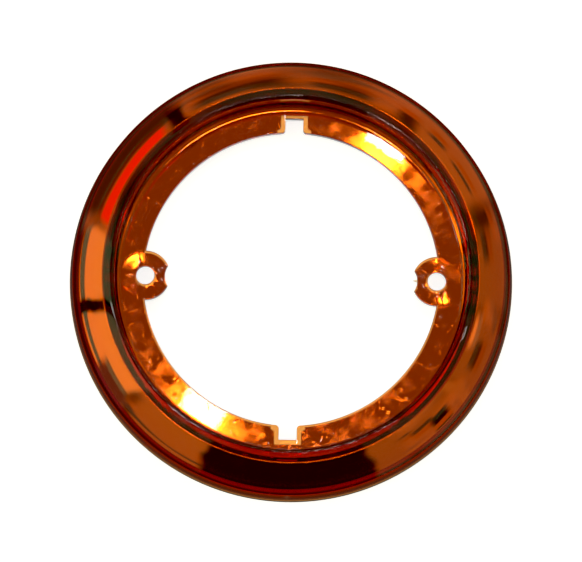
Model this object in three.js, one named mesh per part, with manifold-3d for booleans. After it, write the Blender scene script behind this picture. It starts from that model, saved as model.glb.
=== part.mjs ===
// A bezel ring for a round lamp: one transparent amber moulding, mirrored on its back.
// Millimetres. The origin is the centre of the ring on the plane that its rim rests on, +Z points
// to the front, and the two screw ears lie on the X axis.

import * as THREE from 'three';
import { mergeVertices } from 'three/addons/utils/BufferGeometryUtils.js';
import Module from 'manifold-3d';

// Driving sizes of the moulding, from the rim inwards.
const RIM_RADIUS = 55.0; // back edge of the rim
const HEIGHT = 15.5; // back edge of the rim to the crest
const WALL = 2.4; // moulded wall, the same all over
const RIM_FLARE = 1.2; // how far the rim band spreads from the shoulder to the back edge
const SHOULDER_Z = 7.5; // where the rim band meets the crown
const CROWN_WIDTH = 9.9; // shoulder to crest
const CREST_TILT = 20; // degrees that the crown slopes outwards where it leaves the crest
const CREST_ROUND = 0.9; // rounding from the crest into the inner wall
const LEDGE = 0.3; // the lower half of the inner wall stands this much further in
const LEDGE_Z = 9.4; // middle of the ledge
const FOOT_ROUND = 0.9; // fillet between the inner wall and the flange
const FLANGE_TOP = 5.3; // front face of the flange
const FLANGE_WIDTH = 6.2; // inner wall to the bore

// Driving sizes of the ears, holes and notches.
const PITCH_INSET = 0.5; // the screw holes' centres lie this far inside the bore's edge
const SCREW_HOLE = 4.5; // diameter
const EAR_RADIUS = 6.1;
const BITE_WIDTH = 5.0; // hollow in the tip of each ear, where the gates were cut away
const BITE_DEPTH = 0.75;
const GATE_WIDTH = 0.9; // stub of the gate, left on one ear only
const GATE_LENGTH = 1.05;
const GATE_HEIGHT = 0.8;
const NOTCH_WIDTH = 4.4;
const NOTCH_DEPTH = 3.45; // from the bore's edge
const NOTCH_ROUND = 0.9; // corners between a notch and the bore

// Driving sizes of the two coats on the back. The real films are far thinner than a solid can be.
const COAT_GAP = 0.05; // clearance between one layer and the next
const MIRROR_COAT = 0.12;
const BACK_LACQUER = 0.12;
const EDGE_MARGIN = 0.4; // bare strip that the coats leave along every moulded edge
const RIM_MARGIN = 0.6; // bare strip above the rim's back edge
const NOTCH_MARGIN = 1.1; // bare strip round the notches

// Facets of the round surfaces.
const RING_STEPS = 48;
const CROWN_STEPS = 6;
const ROUND_STEPS = 3;
const HOLE_STEPS = 24;

// Radii that follow from the driving sizes.
const shoulderRadius = RIM_RADIUS - RIM_FLARE;
const crestRadius = shoulderRadius - CROWN_WIDTH;
const wallRadius = crestRadius - CREST_ROUND;
const footRadius = wallRadius - LEDGE;
const boreRadius = footRadius - FLANGE_WIDTH;
const pitchRadius = boreRadius - PITCH_INSET;

// The crown is an arc from the crest's rounding to the shoulder. Tilts are those of the surface's
// outward direction, in radians from +Z.
const crestTilt = THREE.MathUtils.degToRad(CREST_TILT);
const crownStart = new THREE.Vector2(crestRadius + CREST_ROUND * Math.sin(crestTilt),
  HEIGHT - CREST_ROUND * (1 - Math.cos(crestTilt)));
const crownSpan = shoulderRadius - crownStart.x;
const shoulderTilt = 2 * Math.atan2(crownStart.y - SHOULDER_Z, crownSpan) - crestTilt;
const crownRadius = crownSpan / (Math.sin(shoulderTilt) - Math.sin(crestTilt));
const crownCentre = new THREE.Vector2(crownStart.x - crownRadius * Math.sin(crestTilt),
  crownStart.y - crownRadius * Math.cos(crestTilt));
const bandTilt = Math.atan2(SHOULDER_Z, RIM_FLARE);

const wasm = await Module();
wasm.setup();

// Points along part of an ellipse in the plane of the section, angles in degrees.
function arc(centreR, centreZ, radiusR, radiusZ, from, to, steps) {
  return Array.from({ length: steps + 1 }, (_, i) => {
    const angle = THREE.MathUtils.degToRad(from + ((to - from) * i) / steps);
    return new THREE.Vector2(centreR + radiusR * Math.cos(angle), centreZ + radiusZ * Math.sin(angle));
  });
}

// The line of the section at one depth below the front surface, from the flange's inner edge out to
// the rim. Depth 0 is the front, with the ledge in its inner wall, and depth WALL is the back.
function sectionLine(depth, innerRadius, endZ) {
  const filletRadius = footRadius - FOOT_ROUND;
  const faceRadius = (depth > 0 ? wallRadius : footRadius) + depth;
  const radius = crownRadius - depth;
  const line = [new THREE.Vector2(innerRadius, FLANGE_TOP - depth)];
  line.push(...arc(filletRadius, FLANGE_TOP + FOOT_ROUND, faceRadius - filletRadius, FOOT_ROUND + depth,
    -90, 0, ROUND_STEPS));
  if (depth === 0) {
    line.push(new THREE.Vector2(footRadius, LEDGE_Z - LEDGE / 2));
    line.push(new THREE.Vector2(wallRadius, LEDGE_Z + LEDGE / 2));
  }
  let startTilt = crestTilt;
  if (depth < CREST_ROUND) {
    const round = CREST_ROUND - depth;
    line.push(...arc(crestRadius, HEIGHT - CREST_ROUND, round, round, 180, 90 - CREST_TILT,
      ROUND_STEPS).slice(0, -1));
  } else {
    startTilt = Math.asin((faceRadius - crownCentre.x) / radius);
  }
  const reach = crownRadius * Math.cos(bandTilt - shoulderTilt) - depth;
  const endTilt = bandTilt - Math.acos(reach / radius);
  line.push(...arc(crownCentre.x, crownCentre.y, radius, radius,
    90 - THREE.MathUtils.radToDeg(startTilt), 90 - THREE.MathUtils.radToDeg(endTilt), CROWN_STEPS));
  const endRadius = shoulderRadius + RIM_FLARE * (1 - endZ / SHOULDER_Z) - depth / Math.sin(bandTilt);
  line.push(new THREE.Vector2(endRadius, endZ));
  return line;
}

// A closed three.js geometry as a solid that can be joined and cut.
function solidOf(geometry) {
  const bare = geometry.clone();
  bare.deleteAttribute('normal');
  bare.deleteAttribute('uv');
  const merged = mergeVertices(bare, 1e-4);
  return new wasm.Manifold(new wasm.Mesh({
    numProp: 3,
    vertProperties: merged.attributes.position.array,
    triVerts: new Uint32Array(merged.index.array),
  }));
}

// A solid as a named mesh.
function meshOf(name, solid, material) {
  const { vertProperties, triVerts } = solid.getMesh();
  const geometry = new THREE.BufferGeometry();
  geometry.setAttribute('position', new THREE.BufferAttribute(vertProperties, 3));
  geometry.setIndex(new THREE.BufferAttribute(triVerts, 1));
  geometry.computeVertexNormals();
  const mesh = new THREE.Mesh(geometry, material);
  mesh.name = name;
  return mesh;
}

// A flat outline in X and Y as a solid between two heights.
function plate(shape, bottom, top) {
  const geometry = new THREE.ExtrudeGeometry(shape,
    { depth: top - bottom, bevelEnabled: false, curveSegments: ROUND_STEPS });
  return solidOf(geometry.translate(0, 0, bottom));
}

// A round bar along Z.
function bar(radius, x, y, bottom, top, steps = HOLE_STEPS) {
  const geometry = new THREE.CylinderGeometry(radius, radius, top - bottom, steps);
  return solidOf(geometry.rotateX(Math.PI / 2).translate(x, y, (bottom + top) / 2));
}

// The outline that a notch cuts out of the flange at the top of the ring, widened by a margin.
// Its mouth opens into the bore with rounded corners.
function notchOutline(margin) {
  const half = NOTCH_WIDTH / 2 + margin;
  const floor = boreRadius + NOTCH_DEPTH + margin;
  const edge = boreRadius + margin;
  const mouth = Math.sqrt(edge ** 2 - (half + NOTCH_ROUND) ** 2);
  const shape = new THREE.Shape();
  shape.moveTo(half, floor);
  shape.lineTo(-half, floor);
  shape.lineTo(-half, mouth + NOTCH_ROUND);
  shape.absarc(-half - NOTCH_ROUND, mouth + NOTCH_ROUND, NOTCH_ROUND, 0, -Math.PI / 2, true);
  shape.lineTo(-half - NOTCH_ROUND, mouth - NOTCH_DEPTH);
  shape.lineTo(half + NOTCH_ROUND, mouth - NOTCH_DEPTH);
  shape.lineTo(half + NOTCH_ROUND, mouth);
  shape.absarc(half + NOTCH_ROUND, mouth + NOTCH_ROUND, NOTCH_ROUND, -Math.PI / 2, -Math.PI, true);
  shape.closePath();
  return shape;
}

// One layer of the ring between two depths: the revolved section, its two ears, and its holes,
// bites and notches, each set back from the moulded edge by the margin.
function layer(frontDepth, backDepth, margin, endZ) {
  const edge = boreRadius + margin;
  const outline = [
    ...sectionLine(frontDepth, edge, endZ).reverse(),
    ...sectionLine(backDepth, edge, endZ),
  ];
  outline.push(outline[0].clone());
  let solid = solidOf(new THREE.LatheGeometry(outline, RING_STEPS).rotateX(Math.PI / 2));

  const top = FLANGE_TOP - frontDepth;
  const bottom = FLANGE_TOP - backDepth;
  const biteRadius = (BITE_WIDTH ** 2 / 4 + BITE_DEPTH ** 2) / (2 * BITE_DEPTH);
  const tipReach = Math.sqrt(EAR_RADIUS ** 2 - BITE_WIDTH ** 2 / 4);
  const biteCentre = pitchRadius - tipReach + BITE_DEPTH - biteRadius;
  const overlap = (EAR_RADIUS - PITCH_INSET) / 4; // how far the ear's root runs into the flange
  const root = bar(edge + overlap, 0, 0, bottom, top, RING_STEPS);
  for (const side of [1, -1]) {
    const ear = bar(EAR_RADIUS - margin, side * pitchRadius, 0, bottom, top).intersect(root);
    solid = solid.add(ear);
    solid = solid.subtract(bar(biteRadius + margin, side * biteCentre, 0, bottom - 1, top + 1, RING_STEPS));
    solid = solid.subtract(bar(SCREW_HOLE / 2 + margin, side * pitchRadius, 0, bottom - 1, top + 1));
    const notch = plate(notchOutline(margin > 0 ? NOTCH_MARGIN : 0), bottom - 1, top + 1);
    solid = solid.subtract(side > 0 ? notch : notch.rotate([0, 0, 180]));
  }
  return solid;
}

// The torn stub of the gate, in the bite of the right ear.
function gateStub() {
  const biteFloor = pitchRadius - Math.sqrt(EAR_RADIUS ** 2 - BITE_WIDTH ** 2 / 4) + BITE_DEPTH;
  const shape = new THREE.Shape();
  shape.moveTo(biteFloor + GATE_WIDTH / 2, -GATE_WIDTH / 2);
  shape.lineTo(biteFloor + GATE_WIDTH / 2, GATE_WIDTH / 2);
  shape.lineTo(biteFloor - GATE_LENGTH, GATE_WIDTH / 6);
  shape.closePath();
  const middle = FLANGE_TOP - WALL / 2;
  return plate(shape, middle - GATE_HEIGHT / 2, middle + GATE_HEIGHT / 2);
}

const amber = new THREE.MeshStandardMaterial({ color: 0xc4560a, roughness: 0.06, metalness: 0.0 });
const mirror = new THREE.MeshStandardMaterial({ color: 0xd9dadb, roughness: 0.08, metalness: 1.0 });
const lacquer = new THREE.MeshStandardMaterial({ color: 0x5c5f62, roughness: 0.4, metalness: 0.0 });

const mirrorFront = WALL + COAT_GAP;
const lacquerFront = mirrorFront + MIRROR_COAT + COAT_GAP;

const bezel = new THREE.Group();
bezel.add(
  meshOf('amber_ring', layer(0, WALL, 0, 0).add(gateStub()), amber),
  meshOf('mirror_coat', layer(mirrorFront, mirrorFront + MIRROR_COAT, EDGE_MARGIN, RIM_MARGIN), mirror),
  meshOf('back_lacquer', layer(lacquerFront, lacquerFront + BACK_LACQUER, EDGE_MARGIN, RIM_MARGIN), lacquer),
);

export default bezel;
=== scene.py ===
import bmesh
import bpy
from math import acos, asin, atan2, cos, degrees, pi, radians, sin, sqrt
from mathutils import Matrix, Vector


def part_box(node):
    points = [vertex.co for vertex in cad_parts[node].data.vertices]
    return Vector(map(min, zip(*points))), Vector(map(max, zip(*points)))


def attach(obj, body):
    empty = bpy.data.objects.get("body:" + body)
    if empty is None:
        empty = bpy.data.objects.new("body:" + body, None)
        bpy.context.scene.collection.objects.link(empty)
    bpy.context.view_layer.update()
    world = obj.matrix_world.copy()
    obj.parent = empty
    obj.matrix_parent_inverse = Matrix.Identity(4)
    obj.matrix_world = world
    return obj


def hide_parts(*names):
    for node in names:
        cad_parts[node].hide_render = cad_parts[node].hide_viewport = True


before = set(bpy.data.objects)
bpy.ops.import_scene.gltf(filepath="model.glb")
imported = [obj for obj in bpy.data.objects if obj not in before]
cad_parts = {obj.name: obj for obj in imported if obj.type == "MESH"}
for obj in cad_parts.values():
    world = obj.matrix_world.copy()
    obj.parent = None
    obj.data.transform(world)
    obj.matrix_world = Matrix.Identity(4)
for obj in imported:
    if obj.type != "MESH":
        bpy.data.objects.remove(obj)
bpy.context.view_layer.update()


# ---------------------------------------------------------------------------------------------
# Amber ring: one injection moulding in transparent amber acrylic. A domed crown runs out to a
# flared rim band and in to a short wall, at whose foot a flange carries two screw ears and two
# notches. It stands on the rim's back edge, and nothing is fixed to it.
# ---------------------------------------------------------------------------------------------
MM = 0.001
ring_low, ring_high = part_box("amber_ring")
RIM_RADIUS = (ring_high[0] - ring_low[0]) / 2
HEIGHT = ring_high[2]
WALL = 2.4 * MM
RIM_FLARE = 1.2 * MM
SHOULDER_Z = 7.5 * MM
CROWN_WIDTH = 9.9 * MM
CREST_TILT = radians(20)  # slope of the crown where it leaves the crest
CREST_ROUND = 0.9 * MM
LEDGE = 0.3 * MM
LEDGE_Z = 9.4 * MM
FOOT_ROUND = 0.9 * MM
FLANGE_TOP = 5.3 * MM
FLANGE_WIDTH = 6.2 * MM
CHANNEL_ROUND = 0.33 * MM  # inside corner of the hollow behind the crest
SHOULDER_ROUND = 0.35 * MM
RIM_EDGE_ROUND = 0.3 * MM

PITCH_INSET = 0.5 * MM
SCREW_HOLE = 4.5 * MM
EAR_RADIUS = 6.1 * MM
BITE_WIDTH = 5.0 * MM
BITE_DEPTH = 0.75 * MM
GATE_WIDTH = 0.9 * MM
GATE_LENGTH = 1.05 * MM
GATE_HEIGHT = 0.8 * MM
NOTCH_WIDTH = 4.4 * MM
NOTCH_DEPTH = 3.45 * MM
NOTCH_ROUND = 0.9 * MM
NOTCH_MARGIN = 1.1 * MM  # bare strip that the coats leave round the notches
EDGE_ROUND = 0.22 * MM  # the moulded edges of the flange are slightly rounded

shoulder_radius = RIM_RADIUS - RIM_FLARE
crest_radius = shoulder_radius - CROWN_WIDTH
wall_radius = crest_radius - CREST_ROUND
foot_radius = wall_radius - LEDGE
bore_radius = foot_radius - FLANGE_WIDTH
pitch_radius = bore_radius - PITCH_INSET
bite_floor = pitch_radius - sqrt(EAR_RADIUS ** 2 - BITE_WIDTH ** 2 / 4) + BITE_DEPTH

# The crown is an arc from the crest's rounding to the shoulder. Tilts are measured from +Z.
crown_start = Vector((crest_radius + CREST_ROUND * sin(CREST_TILT),
                      HEIGHT - CREST_ROUND * (1 - cos(CREST_TILT))))
crown_span = shoulder_radius - crown_start.x
shoulder_tilt = 2 * atan2(crown_start.y - SHOULDER_Z, crown_span) - CREST_TILT
crown_radius = crown_span / (sin(shoulder_tilt) - sin(CREST_TILT))
crown_centre = crown_start - crown_radius * Vector((sin(CREST_TILT), cos(CREST_TILT)))
band_tilt = atan2(SHOULDER_Z, RIM_FLARE)
# Centre of the rounding in the inside corner of the channel, and the tilt at which it ends.
corner_reach = crown_radius - WALL - CHANNEL_ROUND
corner_radius = wall_radius + WALL + CHANNEL_ROUND
corner_tilt = asin((corner_radius - crown_centre.x) / corner_reach)
corner_centre = Vector((corner_radius, crown_centre.y + corner_reach * cos(corner_tilt)))

RING_STEPS = 288  # stretches round the ring, along the crown and in each rounding
CROWN_STEPS = 30
ROUND_STEPS = 8
EAR_STEPS = 128
HOLE_STEPS = 64
NEAR = 0.01 * MM  # points this close to an edge or a face are taken to be on it


def straight(bm, start, radius, height):
    """Draws a straight stretch of the section from a vertex and gives its far end."""
    end = bmesh.ops.extrude_vert_indiv(bm, verts=[start])["verts"][0]
    end.co = Vector((radius, 0, height))
    return end


def rounded(bm, start, centre, degrees, steps):
    """Turns a vertex about a point of the section, which draws an arc, and gives its far end."""
    turned = bmesh.ops.spin(bm, geom=[start], cent=(centre[0], 0, centre[1]), axis=(0, 1, 0),
                            angle=radians(degrees), steps=steps)
    return turned["geom_last"][0]


def crown_arc(bm, depth, start_tilt):
    """Draws the crown's arc at one depth, from a tilt near the crest out to the shoulder."""
    radius = crown_radius - depth
    reach = crown_radius * cos(band_tilt - shoulder_tilt) - depth
    end_tilt = band_tilt - acos(reach / radius)
    first = bm.verts.new((crown_centre.x + radius * sin(start_tilt), 0,
                          crown_centre.y + radius * cos(start_tilt)))
    return first, rounded(bm, first, crown_centre, degrees(end_tilt - start_tilt), CROWN_STEPS)


def front_line(bm, inner_radius, end_z):
    """The front of the section, from the bore's edge over the crest to the rim."""
    bore = bm.verts.new((inner_radius, 0, FLANGE_TOP))
    end = straight(bm, bore, foot_radius - FOOT_ROUND, FLANGE_TOP)
    foot = (foot_radius - FOOT_ROUND, FLANGE_TOP + FOOT_ROUND)
    end = rounded(bm, end, foot, -90, ROUND_STEPS)
    end = straight(bm, end, foot_radius, LEDGE_Z - LEDGE / 2)
    end = straight(bm, end, wall_radius, LEDGE_Z + LEDGE / 2)
    end = straight(bm, end, wall_radius, HEIGHT - CREST_ROUND)
    top = (crest_radius, HEIGHT - CREST_ROUND)
    end = rounded(bm, end, top, 90 + degrees(CREST_TILT), ROUND_STEPS)
    crest, shoulder = crown_arc(bm, 0, CREST_TILT)
    bm.edges.new((end, crest))
    return bore, straight(bm, shoulder, RIM_RADIUS - RIM_FLARE * end_z / SHOULDER_Z, end_z)


def back_line(bm, depth, inner_radius, end_z):
    """A line at one depth behind the front, from the bore's edge up the channel to the rim."""
    face = wall_radius + depth
    fillet = foot_radius - FOOT_ROUND
    bore = bm.verts.new((inner_radius, 0, FLANGE_TOP - depth))
    end = straight(bm, bore, fillet, FLANGE_TOP - depth)
    before = set(bm.verts)
    end = rounded(bm, end, (fillet, FLANGE_TOP + FOOT_ROUND), -90, 2 * ROUND_STEPS)
    drawn = [v for v in bm.verts if v not in before]
    stretch = (face - fillet) / (FOOT_ROUND + depth)
    bmesh.ops.scale(bm, vec=(stretch, 1, 1), space=Matrix.Translation((-fillet, 0, 0)),
                    verts=drawn)
    end = straight(bm, end, face, corner_centre.y)
    end = rounded(bm, end, corner_centre, 90 + degrees(corner_tilt), ROUND_STEPS)
    corner, shoulder = crown_arc(bm, depth, corner_tilt)
    bm.edges.new((end, corner))
    end_radius = RIM_RADIUS - RIM_FLARE * end_z / SHOULDER_Z - depth / sin(band_tilt)
    return bore, straight(bm, shoulder, end_radius, end_z)


def soften_ring(bm, radius, height, width, segments):
    """Bevels the circular edge at one radius and height."""
    edges = [e for e in bm.edges if all(abs(v.co.xy.length - radius) < NEAR and
                                        abs(v.co.z - height) < NEAR for v in e.verts)]
    bmesh.ops.bevel(bm, geom=edges, offset=width, offset_type="OFFSET", segments=segments,
                    profile=0.5, affect="EDGES", material=-1)


def turned_layer(front_depth, back_depth, margin, end_z):
    """The section between two depths, turned once round the ring's axis."""
    bm = bmesh.new()
    edge = bore_radius + margin
    if front_depth == 0:
        front = front_line(bm, edge, end_z)
    else:
        front = back_line(bm, front_depth, edge, end_z)
    back = back_line(bm, back_depth, edge, end_z)
    bm.edges.new((front[0], back[0]))
    bm.edges.new((front[1], back[1]))
    bmesh.ops.spin(bm, geom=bm.verts[:] + bm.edges[:], cent=(0, 0, 0), axis=(0, 0, 1),
                   angle=2 * pi, steps=RING_STEPS, use_merge=True)
    bmesh.ops.remove_doubles(bm, verts=bm.verts, dist=0.001 * MM)
    bmesh.ops.recalc_face_normals(bm, faces=bm.faces)
    if front_depth == 0:
        soften_ring(bm, shoulder_radius, SHOULDER_Z, SHOULDER_ROUND, 3)
        soften_ring(bm, RIM_RADIUS, 0, RIM_EDGE_ROUND, 3)
        soften_ring(bm, RIM_RADIUS - WALL / sin(band_tilt), 0, RIM_EDGE_ROUND, 3)
    return bm


def piece_from(bm, name):
    """Ends a bmesh as an object of its own."""
    mesh = bpy.data.meshes.new(name)
    bm.to_mesh(mesh)
    bm.free()
    piece = bpy.data.objects.new(name, mesh)
    bpy.context.scene.collection.objects.link(piece)
    return piece


def combine(piece, bm, operation):
    """Joins a bmesh to a piece, or cuts it out of it."""
    tool = piece_from(bm, "tool")
    modifier = piece.modifiers.new("combine", "BOOLEAN")
    modifier.operation = operation
    modifier.solver = "EXACT"
    modifier.object = tool
    with bpy.context.temp_override(object=piece, active_object=piece):
        bpy.ops.object.modifier_apply(modifier=modifier.name)
    bpy.data.objects.remove(tool)


def add_bar(bm, radius, x, low, high, segments):
    """Adds a round bar along Z with its axis at x."""
    place = Matrix.Translation((x, 0, (low + high) / 2))
    return bmesh.ops.create_cone(bm, cap_ends=True, segments=segments, radius1=radius,
                                 radius2=radius, depth=high - low, matrix=place)["verts"]


def ears(margin, low, high):
    """The two screw ears, cut off straight where they run into the flange."""
    bm = bmesh.new()
    for side in (1, -1):
        verts = add_bar(bm, EAR_RADIUS - margin, side * pitch_radius, low, high, EAR_STEPS)
        geom = verts + list({e for v in verts for e in v.link_edges})
        geom += list({f for v in verts for f in v.link_faces})
        root = side * (bore_radius + EAR_RADIUS / 5)  # inside the flange
        cut = bmesh.ops.bisect_plane(bm, geom=geom, plane_co=(root, 0, 0), plane_no=(side, 0, 0),
                                     clear_outer=True)["geom_cut"]
        bmesh.ops.edgeloop_fill(bm, edges=[e for e in cut if isinstance(e, bmesh.types.BMEdge)])
    bmesh.ops.recalc_face_normals(bm, faces=bm.faces)
    return bm


def openings(margin, low, high):
    """Everything that is cut through the flange: screw holes, bites and notches."""
    bm = bmesh.new()
    bite_radius = (BITE_WIDTH ** 2 / 4 + BITE_DEPTH ** 2) / (2 * BITE_DEPTH)
    strip = NOTCH_MARGIN if margin else 0
    half = NOTCH_WIDTH / 2 + strip
    wide = half + NOTCH_ROUND
    floor = bore_radius + NOTCH_DEPTH + strip
    mouth = sqrt((bore_radius + strip) ** 2 - wide ** 2)
    inner = mouth - NOTCH_DEPTH
    for side in (1, -1):
        add_bar(bm, SCREW_HOLE / 2 + margin, side * pitch_radius, low, high, HOLE_STEPS)
        add_bar(bm, bite_radius + margin, side * (bite_floor - bite_radius), low, high, EAR_STEPS)
        outline = ((half, floor), (-half, floor), (-half, mouth), (-wide, mouth), (-wide, inner),
                   (wide, inner), (wide, mouth), (half, mouth))
        verts = [bm.verts.new((side * x, side * y, low)) for x, y in outline]
        bm.faces.new(verts)
        corners = bmesh.ops.bevel(bm, geom=[verts[2], verts[7]], offset=0.98 * NOTCH_ROUND,
                                  offset_type="OFFSET", segments=6, profile=0.5,
                                  affect="VERTICES", material=-1)
        notch = corners["verts"][0].link_faces[0]
        raised = bmesh.ops.extrude_face_region(bm, geom=[notch])["geom"]
        bmesh.ops.translate(bm, vec=(0, 0, high - low),
                            verts=[v for v in raised if isinstance(v, bmesh.types.BMVert)])
    bmesh.ops.recalc_face_normals(bm, faces=bm.faces)
    return bm


def flanged_layer(name, front_depth, back_depth, margin, end_z):
    """One layer of the ring with its ears added and its openings cut."""
    low, high = FLANGE_TOP - back_depth, FLANGE_TOP - front_depth
    piece = piece_from(turned_layer(front_depth, back_depth, margin, end_z), name)
    combine(piece, ears(margin, low, high), "UNION")
    combine(piece, openings(margin, low - WALL, high + WALL), "DIFFERENCE")
    return piece


def gate_stub():
    """The torn stub of the gate, half-way up the bite of the right ear."""
    bm = bmesh.new()
    low = FLANGE_TOP - (WALL + GATE_HEIGHT) / 2
    root = bite_floor + GATE_WIDTH / 2
    outline = ((root, -GATE_WIDTH / 2), (root, GATE_WIDTH / 2),
               (bite_floor - GATE_LENGTH, GATE_WIDTH / 6))
    stub = bm.faces.new([bm.verts.new((x, y, low)) for x, y in outline])
    raised = bmesh.ops.extrude_face_region(bm, geom=[stub])["geom"]
    bmesh.ops.translate(bm, vec=(0, 0, GATE_HEIGHT),
                        verts=[v for v in raised if isinstance(v, bmesh.types.BMVert)])
    bmesh.ops.recalc_face_normals(bm, faces=bm.faces)
    return bm


MERGE = 0.05 * MM
FLAT = 0.99999  # how upright a normal is on a face that is shaded flat
CUT_ANGLE = radians(50)
SHARP_ANGLE = radians(40)


def finish_surface(piece, edge_round):
    """Rounds the cut edges of the flange, and shades the piece smooth but for real corners."""
    bm = bmesh.new()
    bm.from_mesh(piece.data)
    bmesh.ops.remove_doubles(bm, verts=bm.verts, dist=MERGE)
    bmesh.ops.delete(bm, geom=[e for e in bm.edges if e.is_wire], context="EDGES")
    bmesh.ops.triangulate(bm, faces=[f for f in bm.faces if len(f.verts) > 4])
    if edge_round:
        faces_at = (FLANGE_TOP, FLANGE_TOP - WALL)
        cut = [e for e in bm.edges if e.is_manifold and e.calc_face_angle() > CUT_ANGLE
               and any(all(abs(v.co.z - z) < NEAR for v in e.verts) for z in faces_at)]
        bmesh.ops.bevel(bm, geom=cut, offset=edge_round, offset_type="OFFSET", segments=3,
                        profile=0.5, affect="EDGES", material=-1)
    for face in bm.faces:
        face.smooth = abs(face.normal.z) < FLAT
    bm.to_mesh(piece.data)
    bm.free()
    piece.data.set_sharp_from_angle(angle=SHARP_ANGLE)
    weighted = piece.modifiers.new("flat faces stay flat", "WEIGHTED_NORMAL")
    weighted.keep_sharp = True
    weighted.weight = 80


amber_ring = flanged_layer("amber_bezel", 0, WALL, 0, 0)
combine(amber_ring, gate_stub(), "UNION")
finish_surface(amber_ring, EDGE_ROUND)


def compute(tree, operation, *values):
    """A math node fed with sockets or numbers, which gives its result."""
    node = tree.nodes.new("ShaderNodeMath")
    node.operation = operation
    for value, socket in zip(values, node.inputs):
        if isinstance(value, bpy.types.NodeSocket):
            tree.links.new(value, socket)
        else:
            socket.default_value = value
    return node.outputs["Value"]


def ramp(tree, value, low, high, start=0, end=1):
    """Runs smoothly from start to end as a value goes from low to high."""
    node = tree.nodes.new("ShaderNodeMapRange")
    node.interpolation_type = "SMOOTHSTEP"
    for name, setting in (("Value", value), ("From Min", low), ("From Max", high),
                          ("To Min", start), ("To Max", end)):
        if isinstance(setting, bpy.types.NodeSocket):
            tree.links.new(setting, node.inputs[name])
        else:
            node.inputs[name].default_value = setting
    return node.outputs["Result"]


def noise(tree, place, scale, detail=2.0, roughness=0.5, offset=(0, 0, 0)):
    """A noise texture over the object, shifted so that no two are alike."""
    shift = tree.nodes.new("ShaderNodeMapping")
    shift.inputs["Location"].default_value = offset
    tree.links.new(place, shift.inputs["Vector"])
    node = tree.nodes.new("ShaderNodeTexNoise")
    node.inputs["Scale"].default_value = scale
    node.inputs["Detail"].default_value = detail
    node.inputs["Roughness"].default_value = roughness
    tree.links.new(shift.outputs["Vector"], node.inputs["Vector"])
    return node.outputs["Fac"]


# Moulded skin: the unevenness that every moulded or sprayed face of the ring has. It is made of
# slow waves from shrinking, fine peel, the dish that each ear sank into as it cooled and, on the
# unpolished flange, pinpoint specks and fine curved handling marks. Beyond the left screw hole is
# the knit line where the melt met. Scales are in features per metre.
WAVE_SCALE = 260
PEEL_SCALE = 1700
SPECK_SCALE = 620
MARK_SCALE = 330
PATCH_SCALE = 420  # of the areas that have handling marks
KNIT_LENGTH = 2.4 * MM
KNIT_WIDTH = 0.14 * MM

skin = bpy.data.node_groups.new("moulded skin", "ShaderNodeTree")
for name in ("Wave Depth", "Peel Depth", "Dish Depth", "Speck Depth", "Mark Depth"):
    skin.interface.new_socket(name, in_out="INPUT", socket_type="NodeSocketFloat")
skin.interface.new_socket("Normal", in_out="OUTPUT", socket_type="NodeSocketVector")
depths = skin.nodes.new("NodeGroupInput").outputs
result = skin.nodes.new("NodeGroupOutput").inputs
place = skin.nodes.new("ShaderNodeTexCoord").outputs["Object"]
waves = noise(skin, place, WAVE_SCALE, 1.0)
peel = noise(skin, place, PEEL_SCALE, 3.0, 0.6, offset=(0.3, 0.1, 0))
axes = skin.nodes.new("ShaderNodeSeparateXYZ")
skin.links.new(place, axes.inputs["Vector"])
unpolished = ramp(skin, axes.outputs["Z"], FLANGE_TOP + 0.3 * MM, FLANGE_TOP + 1.5 * MM, 1, 0)
cells = skin.nodes.new("ShaderNodeTexVoronoi")
cells.inputs["Scale"].default_value = SPECK_SCALE
skin.links.new(place, cells.inputs["Vector"])
chosen = skin.nodes.new("ShaderNodeSeparateColor")
skin.links.new(cells.outputs["Color"], chosen.inputs["Color"])
specks = ramp(skin, cells.outputs["Distance"], 0.08, 0.2, 1, 0)
specks = compute(skin, "MULTIPLY", specks, ramp(skin, chosen.outputs["Red"], 0.80, 0.86))
lines = noise(skin, place, MARK_SCALE, 0.6, offset=(0, 0.7, 0))  # its contours curl like marks
lines = compute(skin, "ABSOLUTE", compute(skin, "SUBTRACT", lines, 0.5))
lines = ramp(skin, lines, 0.006, 0.016, 1, 0)
patches = ramp(skin, noise(skin, place, PATCH_SCALE, 0.0, offset=(0.5, 0, 0.2)), 0.60, 0.66)
marks = compute(skin, "MULTIPLY", compute(skin, "MULTIPLY", lines, patches), unpolished)
specks = compute(skin, "MULTIPLY", specks, unpolished)
past_hole = compute(skin, "SUBTRACT", 0, axes.outputs["X"])
past_hole = compute(skin, "SUBTRACT", past_hole, pitch_radius + SCREW_HOLE / 2)
knit = ramp(skin, past_hole, 0.2 * MM, 0.5 * MM)
knit_end = ramp(skin, past_hole, KNIT_LENGTH - 0.4 * MM, KNIT_LENGTH, 1, 0)
knit = compute(skin, "MULTIPLY", knit, knit_end)
from_line = compute(skin, "ABSOLUTE", axes.outputs["Y"])
knit = compute(skin, "MULTIPLY", knit, ramp(skin, from_line, 0.02 * MM, KNIT_WIDTH, 1, 0))
marks = compute(skin, "MAXIMUM", marks, knit)
height = compute(skin, "MULTIPLY", waves, depths["Wave Depth"])
height = compute(skin, "MULTIPLY_ADD", peel, depths["Peel Depth"], height)
over_ear = compute(skin, "SUBTRACT", compute(skin, "ABSOLUTE", axes.outputs["X"]), pitch_radius)
from_hole = skin.nodes.new("ShaderNodeCombineXYZ")
skin.links.new(over_ear, from_hole.inputs["X"])
skin.links.new(axes.outputs["Y"], from_hole.inputs["Y"])
reach = skin.nodes.new("ShaderNodeVectorMath")
reach.operation = "LENGTH"
skin.links.new(from_hole.outputs["Vector"], reach.inputs[0])
dish = ramp(skin, reach.outputs["Value"], SCREW_HOLE / 2, EAR_RADIUS + 1 * MM)
dish = compute(skin, "MULTIPLY", dish, unpolished)
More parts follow.
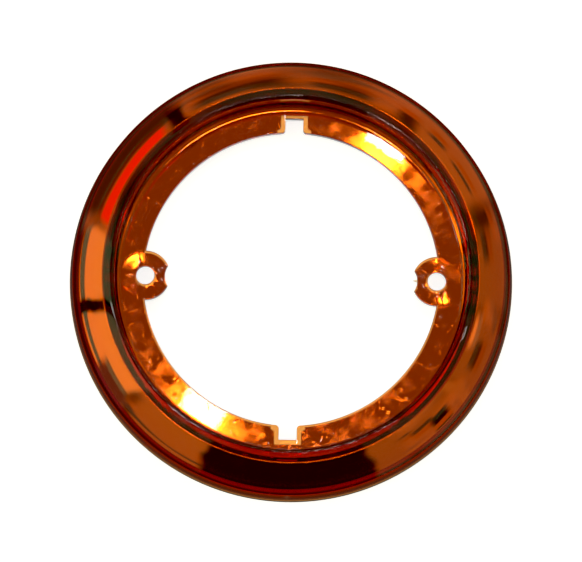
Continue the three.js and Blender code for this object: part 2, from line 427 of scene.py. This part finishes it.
height = compute(skin, "MULTIPLY_ADD", dish, depths["Dish Depth"], height)
height = compute(skin, "MULTIPLY_ADD", specks, depths["Speck Depth"], height)
height = compute(skin, "MULTIPLY_ADD", marks, depths["Mark Depth"], height)
relief = skin.nodes.new("ShaderNodeBump")
relief.inputs["Distance"].default_value = 1.0  # so that depths are true lengths
skin.links.new(height, relief.inputs["Height"])
skin.links.new(relief.outputs["Normal"], result["Normal"])


def give_skin(material, wave, peel, dish, speck, mark):
    """Puts the moulded skin on a material, with its depths in metres."""
    tree = material.node_tree
    node = tree.nodes.new("ShaderNodeGroup")
    node.node_tree = skin
    for name, depth in (("Wave Depth", wave), ("Peel Depth", peel), ("Dish Depth", dish),
                        ("Speck Depth", speck), ("Mark Depth", mark)):
        node.inputs[name].default_value = depth
    tree.links.new(node.outputs["Normal"], tree.nodes["Principled BSDF"].inputs["Normal"])


DYE = (0.981, 0.625, 0.0, 1)  # what the plastic lets through, and how much dye is in it
DYE_DENSITY = 1064
ACRYLIC_IOR = 1.49
BARE = (1, 1, 1, 1)
OVERSPRAY = (0.05, 0.055, 0.045, 1)  # film and lacquer that crept round onto the cut edges

amber = bpy.data.materials.new("amber acrylic")
amber.use_nodes = True
nodes, links = amber.node_tree.nodes, amber.node_tree.links
shader = nodes["Principled BSDF"]
shader.inputs["Roughness"].default_value = 0.0
shader.inputs["IOR"].default_value = ACRYLIC_IOR
shader.inputs["Transmission Weight"].default_value = 1.0
give_skin(amber, wave=0.002 * MM, peel=0.0005 * MM, dish=0.01 * MM, speck=0.004 * MM,
          mark=0.008 * MM)
place = nodes.new("ShaderNodeTexCoord").outputs["Object"]
axes = nodes.new("ShaderNodeSeparateXYZ")
links.new(place, axes.inputs["Vector"])
across = nodes.new("ShaderNodeCombineXYZ")
links.new(axes.outputs["X"], across.inputs["X"])
links.new(axes.outputs["Y"], across.inputs["Y"])
radius = nodes.new("ShaderNodeVectorMath")
radius.operation = "LENGTH"
links.new(across.outputs["Vector"], radius.inputs[0])
facing = nodes.new("ShaderNodeSeparateXYZ")
links.new(nodes.new("ShaderNodeNewGeometry").outputs["Normal"], facing.inputs["Vector"])
tree = amber.node_tree
upright = ramp(tree, compute(tree, "ABSOLUTE", facing.outputs["Z"]), 0.3, 0.6, 1, 0)
notch_floor = bore_radius + NOTCH_DEPTH
on_flange = ramp(tree, radius.outputs["Value"], notch_floor, notch_floor + 1 * MM, 1, 0)
overspray = compute(tree, "MULTIPLY", upright, on_flange)
below_top = ramp(tree, axes.outputs["Z"], FLANGE_TOP - 0.3 * MM, FLANGE_TOP, 1, 0)
overspray = compute(tree, "MULTIPLY", overspray, below_top)
blotches = noise(tree, place, 500, 3.0, offset=(0.9, 0, 0.1))
dusted = nodes.new("ShaderNodeMix")
dusted.data_type = "RGBA"
dusted.inputs["A"].default_value = BARE
dusted.inputs["B"].default_value = OVERSPRAY
links.new(compute(tree, "MULTIPLY", overspray, ramp(tree, blotches, 0.3, 0.5, 0.8, 1)),
          dusted.inputs["Factor"])
links.new(dusted.outputs["Result"], shader.inputs["Base Color"])
dye = nodes.new("ShaderNodeVolumeAbsorption")
dye.inputs["Color"].default_value = DYE
dye.inputs["Density"].default_value = DYE_DENSITY
links.new(dye.outputs["Volume"], nodes["Material Output"].inputs["Volume"])
amber_ring.data.materials.append(amber)
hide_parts("amber_ring")
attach(amber_ring, "root")


# ---------------------------------------------------------------------------------------------
# Mirror coat: aluminium evaporated onto the moulding's back, in a mask that leaves a bare strip
# along every edge. Seen from the front it is what makes the amber look like metal.
# ---------------------------------------------------------------------------------------------
COAT_GAP = 0.05 * MM
MIRROR_COAT = 0.12 * MM
EDGE_MARGIN = 0.4 * MM  # bare strip along the bore, the ears and the holes
RIM_MARGIN = 0.6 * MM  # and at the rim's back edge
ALUMINIUM = (0.9, 0.9, 0.9, 1)

mirror_front = WALL + COAT_GAP
mirror_coat = flanged_layer("mirror_film", mirror_front, mirror_front + MIRROR_COAT, EDGE_MARGIN,
                            RIM_MARGIN)
finish_surface(mirror_coat, 0)

film = bpy.data.materials.new("evaporated aluminium")
film.use_nodes = True
shader = film.node_tree.nodes["Principled BSDF"]
shader.inputs["Base Color"].default_value = ALUMINIUM
shader.inputs["Metallic"].default_value = 1.0
place = film.node_tree.nodes.new("ShaderNodeTexCoord").outputs["Object"]
cloudy = noise(film.node_tree, place, 300, 3.0, offset=(0.2, 0.4, 0))
cloudy = ramp(film.node_tree, cloudy, 0.35, 0.7, 0.03, 0.09)
film.node_tree.links.new(cloudy, shader.inputs["Roughness"])
give_skin(film, wave=0.003 * MM, peel=0.0012 * MM, dish=0.14 * MM, speck=0.02 * MM,
          mark=0.02 * MM)
mirror_coat.data.materials.append(film)
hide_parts("mirror_coat")
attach(mirror_coat, "root")


# ---------------------------------------------------------------------------------------------
# Back lacquer: a thin grey coat sprayed over the film to keep it from being rubbed off.
# ---------------------------------------------------------------------------------------------
BACK_LACQUER = 0.12 * MM
THIN_COAT = (0.16, 0.165, 0.17, 1)
THICK_COAT = (0.10, 0.105, 0.11, 1)

lacquer_front = mirror_front + MIRROR_COAT + COAT_GAP
back_lacquer = flanged_layer("lacquer_back", lacquer_front, lacquer_front + BACK_LACQUER,
                             EDGE_MARGIN, RIM_MARGIN)
finish_surface(back_lacquer, 0)

lacquer = bpy.data.materials.new("grey lacquer")
lacquer.use_nodes = True
shader = lacquer.node_tree.nodes["Principled BSDF"]
nodes, links = lacquer.node_tree.nodes, lacquer.node_tree.links
place = nodes.new("ShaderNodeTexCoord").outputs["Object"]
uneven = noise(lacquer.node_tree, place, 150, 4.0, 0.6, offset=(0.1, 0.6, 0))
coat = nodes.new("ShaderNodeMix")
coat.data_type = "RGBA"
coat.inputs["A"].default_value = THIN_COAT
coat.inputs["B"].default_value = THICK_COAT
links.new(ramp(lacquer.node_tree, uneven, 0.35, 0.65), coat.inputs["Factor"])
links.new(coat.outputs["Result"], shader.inputs["Base Color"])
links.new(ramp(lacquer.node_tree, uneven, 0.35, 0.65, 0.48, 0.34), shader.inputs["Roughness"])
give_skin(lacquer, wave=0.02 * MM, peel=0.008 * MM, dish=0.08 * MM, speck=0.03 * MM,
          mark=0.01 * MM)
back_lacquer.data.materials.append(lacquer)
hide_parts("back_lacquer")
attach(back_lacquer, "root")


# ---------------------------------------------------------------------------------------------
# Floor: a sheet of white paper. The camera sees it evenly white. In the ring's gloss it glows
# with
# painted light: bright in the bore from straight above, with a painted shadow of the ring under
# the crown, dimmer outside the rim, and farther out it gives way to the room.
# ---------------------------------------------------------------------------------------------
PAPER_GLOW = 0.82  # the light of its own that keeps the paper white for the camera
PAPER_SIZE = 3.0  # half its width
PAPER_BRIGHT = 0.9  # radiance in the gloss, inside the bore and from straight above
PAPER_SLANT = 0.05  # the same at a slant
CROWN_SHADOW = 0.05  # painted shadow of the ring on the paper: radiance under the crown, from straight above
RIM_SLANT = 0.45  # radiance under the crown at a slant, where no painted shadow is laid
ROUND_SLANT = 0.05  # outside the rim, at a slant

bm = bmesh.new()
bmesh.ops.create_grid(bm, x_segments=1, y_segments=1, size=PAPER_SIZE)
floor = piece_from(bm, "floor")
paper = bpy.data.materials.new("white paper")
paper.use_nodes = True
nodes, links = paper.node_tree.nodes, paper.node_tree.links
sheet = nodes["Principled BSDF"]
sheet.inputs["Base Color"].default_value = (0.8, 0.8, 0.8, 1)
sheet.inputs["Roughness"].default_value = 0.9
sheet.inputs["Emission Color"].default_value = (1, 1, 1, 1)
sheet.inputs["Emission Strength"].default_value = PAPER_GLOW
place = nodes.new("ShaderNodeTexCoord")
distance = nodes.new("ShaderNodeVectorMath")
distance.operation = "LENGTH"
links.new(place.outputs["Object"], distance.inputs[0])
distance = distance.outputs["Value"]
slant = nodes.new("ShaderNodeLayerWeight").outputs["Facing"]
tree = paper.node_tree
# Painted shadow of the ring: seen from straight above, the paper's glow drops from bright in the
# bore to dark under the crown.
under = ramp(tree, distance, bore_radius + NOTCH_DEPTH, crest_radius)
straight_down_shadowed = ramp(tree, under, 0, 1, PAPER_BRIGHT, CROWN_SHADOW)
outside = ramp(tree, distance, RIM_RADIUS - 1.6 * MM, RIM_RADIUS - 1 * MM,
               RIM_SLANT, ROUND_SLANT)
slanting = compute(tree, "MAXIMUM", ramp(tree, under, 0, 1, PAPER_SLANT, 0),
                   compute(tree, "MULTIPLY", under, outside))
seen_paper = nodes.new("ShaderNodeEmission")
links.new(ramp(tree, slant, 0.08, 0.3, straight_down_shadowed, slanting), seen_paper.inputs["Strength"])
gone = ramp(tree, distance, RIM_RADIUS + 0.3 * MM, RIM_RADIUS + 1.5 * MM)
clear = nodes.new("ShaderNodeBsdfTransparent")
in_gloss = nodes.new("ShaderNodeMixShader")
links.new(gone, in_gloss.inputs["Fac"])
links.new(seen_paper.outputs["Emission"], in_gloss.inputs[1])
links.new(clear.outputs["BSDF"], in_gloss.inputs[2])
ray = nodes.new("ShaderNodeLightPath")
either = nodes.new("ShaderNodeMixShader")
links.new(ray.outputs["Is Camera Ray"], either.inputs["Fac"])
links.new(in_gloss.outputs["Shader"], either.inputs[1])
links.new(sheet.outputs["BSDF"], either.inputs[2])
links.new(either.outputs["Shader"], nodes["Material Output"].inputs["Surface"])
floor.data.materials.append(paper)


# ---------------------------------------------------------------------------------------------
# Room: what the gloss reflects. Each patch is a soft-edged part of the surroundings, placed by
# its bearing (clockwise from +Y) and its angle from straight up, in degrees.
# ---------------------------------------------------------------------------------------------
patch_group = bpy.data.node_groups.new("room patch", "ShaderNodeTree")
for name in ("Bearing", "Zenith Angle", "Centre", "Half Width", "Middle", "Half Height", "Soft"):
    patch_group.interface.new_socket(name, in_out="INPUT", socket_type="NodeSocketFloat")
patch_group.interface.new_socket("Mask", in_out="OUTPUT", socket_type="NodeSocketFloat")
given = patch_group.nodes.new("NodeGroupInput").outputs
result = patch_group.nodes.new("NodeGroupOutput").inputs


def within(tree, off, half, soft):
    """1 where an offset is within a half width, falling softly to 0 past it."""
    start = compute(tree, "SUBTRACT", half, soft)
    end = compute(tree, "ADD", half, soft)
    return ramp(tree, compute(tree, "ABSOLUTE", off), start, end, 1, 0)


aside = compute(patch_group, "SUBTRACT", given["Bearing"], given["Centre"])
aside = compute(patch_group, "WRAP", aside, 180, -180)
above = compute(patch_group, "SUBTRACT", given["Zenith Angle"], given["Middle"])
across = within(patch_group, aside, given["Half Width"], given["Soft"])
upright = within(patch_group, above, given["Half Height"], given["Soft"])
patch_group.links.new(compute(patch_group, "MULTIPLY", across, upright), result["Mask"])

STRAY = 5.0  # degrees that the patches' edges wander

world = bpy.data.worlds.new("studio")
world.use_nodes = True
nodes, links = world.node_tree.nodes, world.node_tree.links
direction = nodes.new("ShaderNodeTexCoord").outputs["Generated"]
axes = nodes.new("ShaderNodeSeparateXYZ")
links.new(direction, axes.inputs["Vector"])
clutter = nodes.new("ShaderNodeTexNoise")  # keeps the patches' edges from being ruled straight
clutter.inputs["Scale"].default_value = 3.0
clutter.inputs["Detail"].default_value = 0.5
links.new(direction, clutter.inputs["Vector"])
stray = compute(world.node_tree, "MULTIPLY_ADD", clutter.outputs["Fac"], STRAY, -STRAY / 2)
bearing = compute(world.node_tree, "ARCTAN2", axes.outputs["X"], axes.outputs["Y"])
bearing = compute(world.node_tree, "MULTIPLY_ADD", bearing, 180 / pi, stray)
zenith = compute(world.node_tree, "ARCCOSINE", axes.outputs["Z"])
zenith = compute(world.node_tree, "MULTIPLY_ADD", zenith, 180 / pi, stray)


def add_patch(under, centre, half_width, middle, half_height, soft, colour):
    """Lays a patch of one colour over what is already there."""
    mask = nodes.new("ShaderNodeGroup")
    mask.node_tree = patch_group
    links.new(bearing, mask.inputs["Bearing"])
    links.new(zenith, mask.inputs["Zenith Angle"])
    for name, value in (("Centre", centre), ("Half Width", half_width), ("Middle", middle),
                        ("Half Height", half_height), ("Soft", soft)):
        mask.inputs[name].default_value = value
    mix = nodes.new("ShaderNodeMix")
    mix.data_type = "RGBA"
    links.new(mask.outputs["Mask"], mix.inputs["Factor"])
    links.new(under, mix.inputs["A"])
    mix.inputs["B"].default_value = (*colour, 1)
    return mix.outputs["Result"]


WALLS_IN_SHADE = (0.20, 0.20, 0.10, 1)
WALLS_IN_LIGHT = (0.50, 0.50, 0.24, 1)

walls = nodes.new("ShaderNodeValToRGB")  # the room's walls, mottled by what stands along them
walls.color_ramp.elements[0].position = 0.35
walls.color_ramp.elements[0].color = WALLS_IN_SHADE
walls.color_ramp.elements[1].position = 0.62
walls.color_ramp.elements[1].color = WALLS_IN_LIGHT
links.new(clutter.outputs["Fac"], walls.inputs["Fac"])
room = walls.outputs["Color"]

CEILING = (0.24, 0.16, 0.13)
WINDOW = (1.05, 1.22, 0.55)
DOORWAY = (1.0, 1.05, 0.5)
LIT_WALL = (0.46, 0.48, 0.21)
DIM_WALL = (0.36, 0.37, 0.18)
RED_CARD = (1.0, 0.12, 0.02)
SILL = (0.16, 0.16, 0.18)
DARK = (0.02, 0.02, 0.02)
SHADE = (0.08, 0.08, 0.08)
TABLE = (0.22, 0.05, 0.02)

# Bearing, half width, zenith angle, half height, softness of the edge, colour
ROOM_PATCHES = (
    (0, 181, 0, 30, 3, CEILING),
    (46, 13, 76, 46, 2, LIT_WALL),
    (80, 9, 76, 46, 2, DIM_WALL),
    (105, 9, 84, 40, 2, DIM_WALL),
    (97, 5, 62, 6, 3, DOORWAY),
    (106, 4, 84, 7, 2, SHADE),
    (117, 2.0, 84, 36, 1, LIT_WALL),
    (12, 8, 82, 6, 3, SHADE),
    (31, 2.5, 80, 14, 2, SHADE),
    (40, 3, 90, 4, 2, SHADE),
    (52, 5, 85, 3, 2, SHADE),
    (64, 2.5, 84, 16, 2, SHADE),
    (72, 5, 78, 6, 3, SHADE),
    (127, 3.5, 90, 8, 1.5, DARK),
    (133, 4, 80, 3.5, 1.5, SHADE),
    (142, 5, 72, 1.5, 1, SHADE),
    (147, 6, 80, 40, 3, DIM_WALL),
    (249, 42, 112, 16, 3, SHADE),
    (221, 13, 66, 34, 2, LIT_WALL),
    (264, 26, 66, 34, 1.5, WINDOW),
    (244, 7, 96, 13, 2, SILL),
    (268, 2.0, 75, 50, 0.8, DARK),  # post between the panes
    (308, 15, 74, 12, 1.5, RED_CARD),
    (312, 18, 102, 13, 3, SHADE),
    (328, 2.5, 78, 24, 1, DARK),
    (345, 11, 84, 8, 4, SHADE),
    (180, 28, 82, 40, 1.5, DARK),  # whoever stands in front of the ring
    (0, 181, 180, 64, 3, TABLE),
)
for patch in ROOM_PATCHES:
    room = add_patch(room, *patch)

BLACK = 0.006  # radiance that is shown as black
BACKDROP = (0.96, 0.96, 0.96, 1)  # what the camera sees past the paper

ray = nodes.new("ShaderNodeLightPath")
backdrop = nodes.new("ShaderNodeMix")
backdrop.data_type = "RGBA"
links.new(ray.outputs["Is Camera Ray"], backdrop.inputs["Factor"])
links.new(room, backdrop.inputs["A"])
backdrop.inputs["B"].default_value = BACKDROP
links.new(backdrop.outputs["Result"], nodes["Background"].inputs["Color"])
bpy.context.scene.world = world
view = bpy.context.scene.view_settings
view.view_transform = "Standard"
view.use_curve_mapping = True
view.curve_mapping.black_level = (BLACK, BLACK, BLACK)
view.curve_mapping.update()


# ---------------------------------------------------------------------------------------------
# Lamps: tubes and rows of them under the ceiling. The two short tubes make the flange's glare.
# ---------------------------------------------------------------------------------------------
LAMP_HEIGHT = 1.5


def ceiling_lamp(name, start, end, width, power):
    """A lamp under the ceiling between two points, given in metres along X and Y."""
    along = Vector(end) - Vector(start)
    data = bpy.data.lights.new(name, "AREA")
    data.shape = "RECTANGLE"
    data.size = width
    data.size_y = along.length
    data.energy = power
    lamp = bpy.data.objects.new(name, data)
    lamp.visible_camera = False
    middle = (Vector(start) + Vector(end)) / 2
    lamp.matrix_world = Matrix.Translation((*middle, LAMP_HEIGHT)) \
        @ Matrix.Rotation(-atan2(along.x, along.y), 4, "Z")
    bpy.context.scene.collection.objects.link(lamp)


ceiling_lamp("near tube", (-0.080, 0.082), (-0.036, 0.149), 0.03, 0.2)
ceiling_lamp("far tube", (0.062, 0.296), (0.107, 0.365), 0.03, 0.26)
ceiling_lamp("back row", (-0.40, 0.84), (1.25, 0.84), 0.11, 3.4)
ceiling_lamp("left row", (-1.45, -0.03), (-0.63, -0.03), 0.11, 1.4)
ceiling_lamp("middle row", (-0.01, -0.01), (0.14, 0.04), 0.06, 0.6)
ceiling_lamp("right row", (1.30, -0.18), (1.55, -0.20), 0.11, 0.4)


# ---------------------------------------------------------------------------------------------
# Camera: almost straight above the ring, tilted a little towards its lower edge.
# ---------------------------------------------------------------------------------------------
CAMERA_DISTANCE = 0.715
CAMERA_TILT = radians(7.8)
CAMERA_ROLL = radians(1.25)
FRAME_WIDTH = 0.14465  # width of the view at the ring

camera_data = bpy.data.cameras.new("camera")
camera_data.sensor_width = 36
camera_data.lens = camera_data.sensor_width * CAMERA_DISTANCE / FRAME_WIDTH
camera = bpy.data.objects.new("camera", camera_data)
bpy.context.scene.collection.objects.link(camera)
turn = Matrix.Rotation(CAMERA_TILT, 4, "X") @ Matrix.Rotation(CAMERA_ROLL, 4, "Z")
camera.matrix_world = turn @ Matrix.Translation((0, 0, CAMERA_DISTANCE))
bpy.context.scene.camera = camera
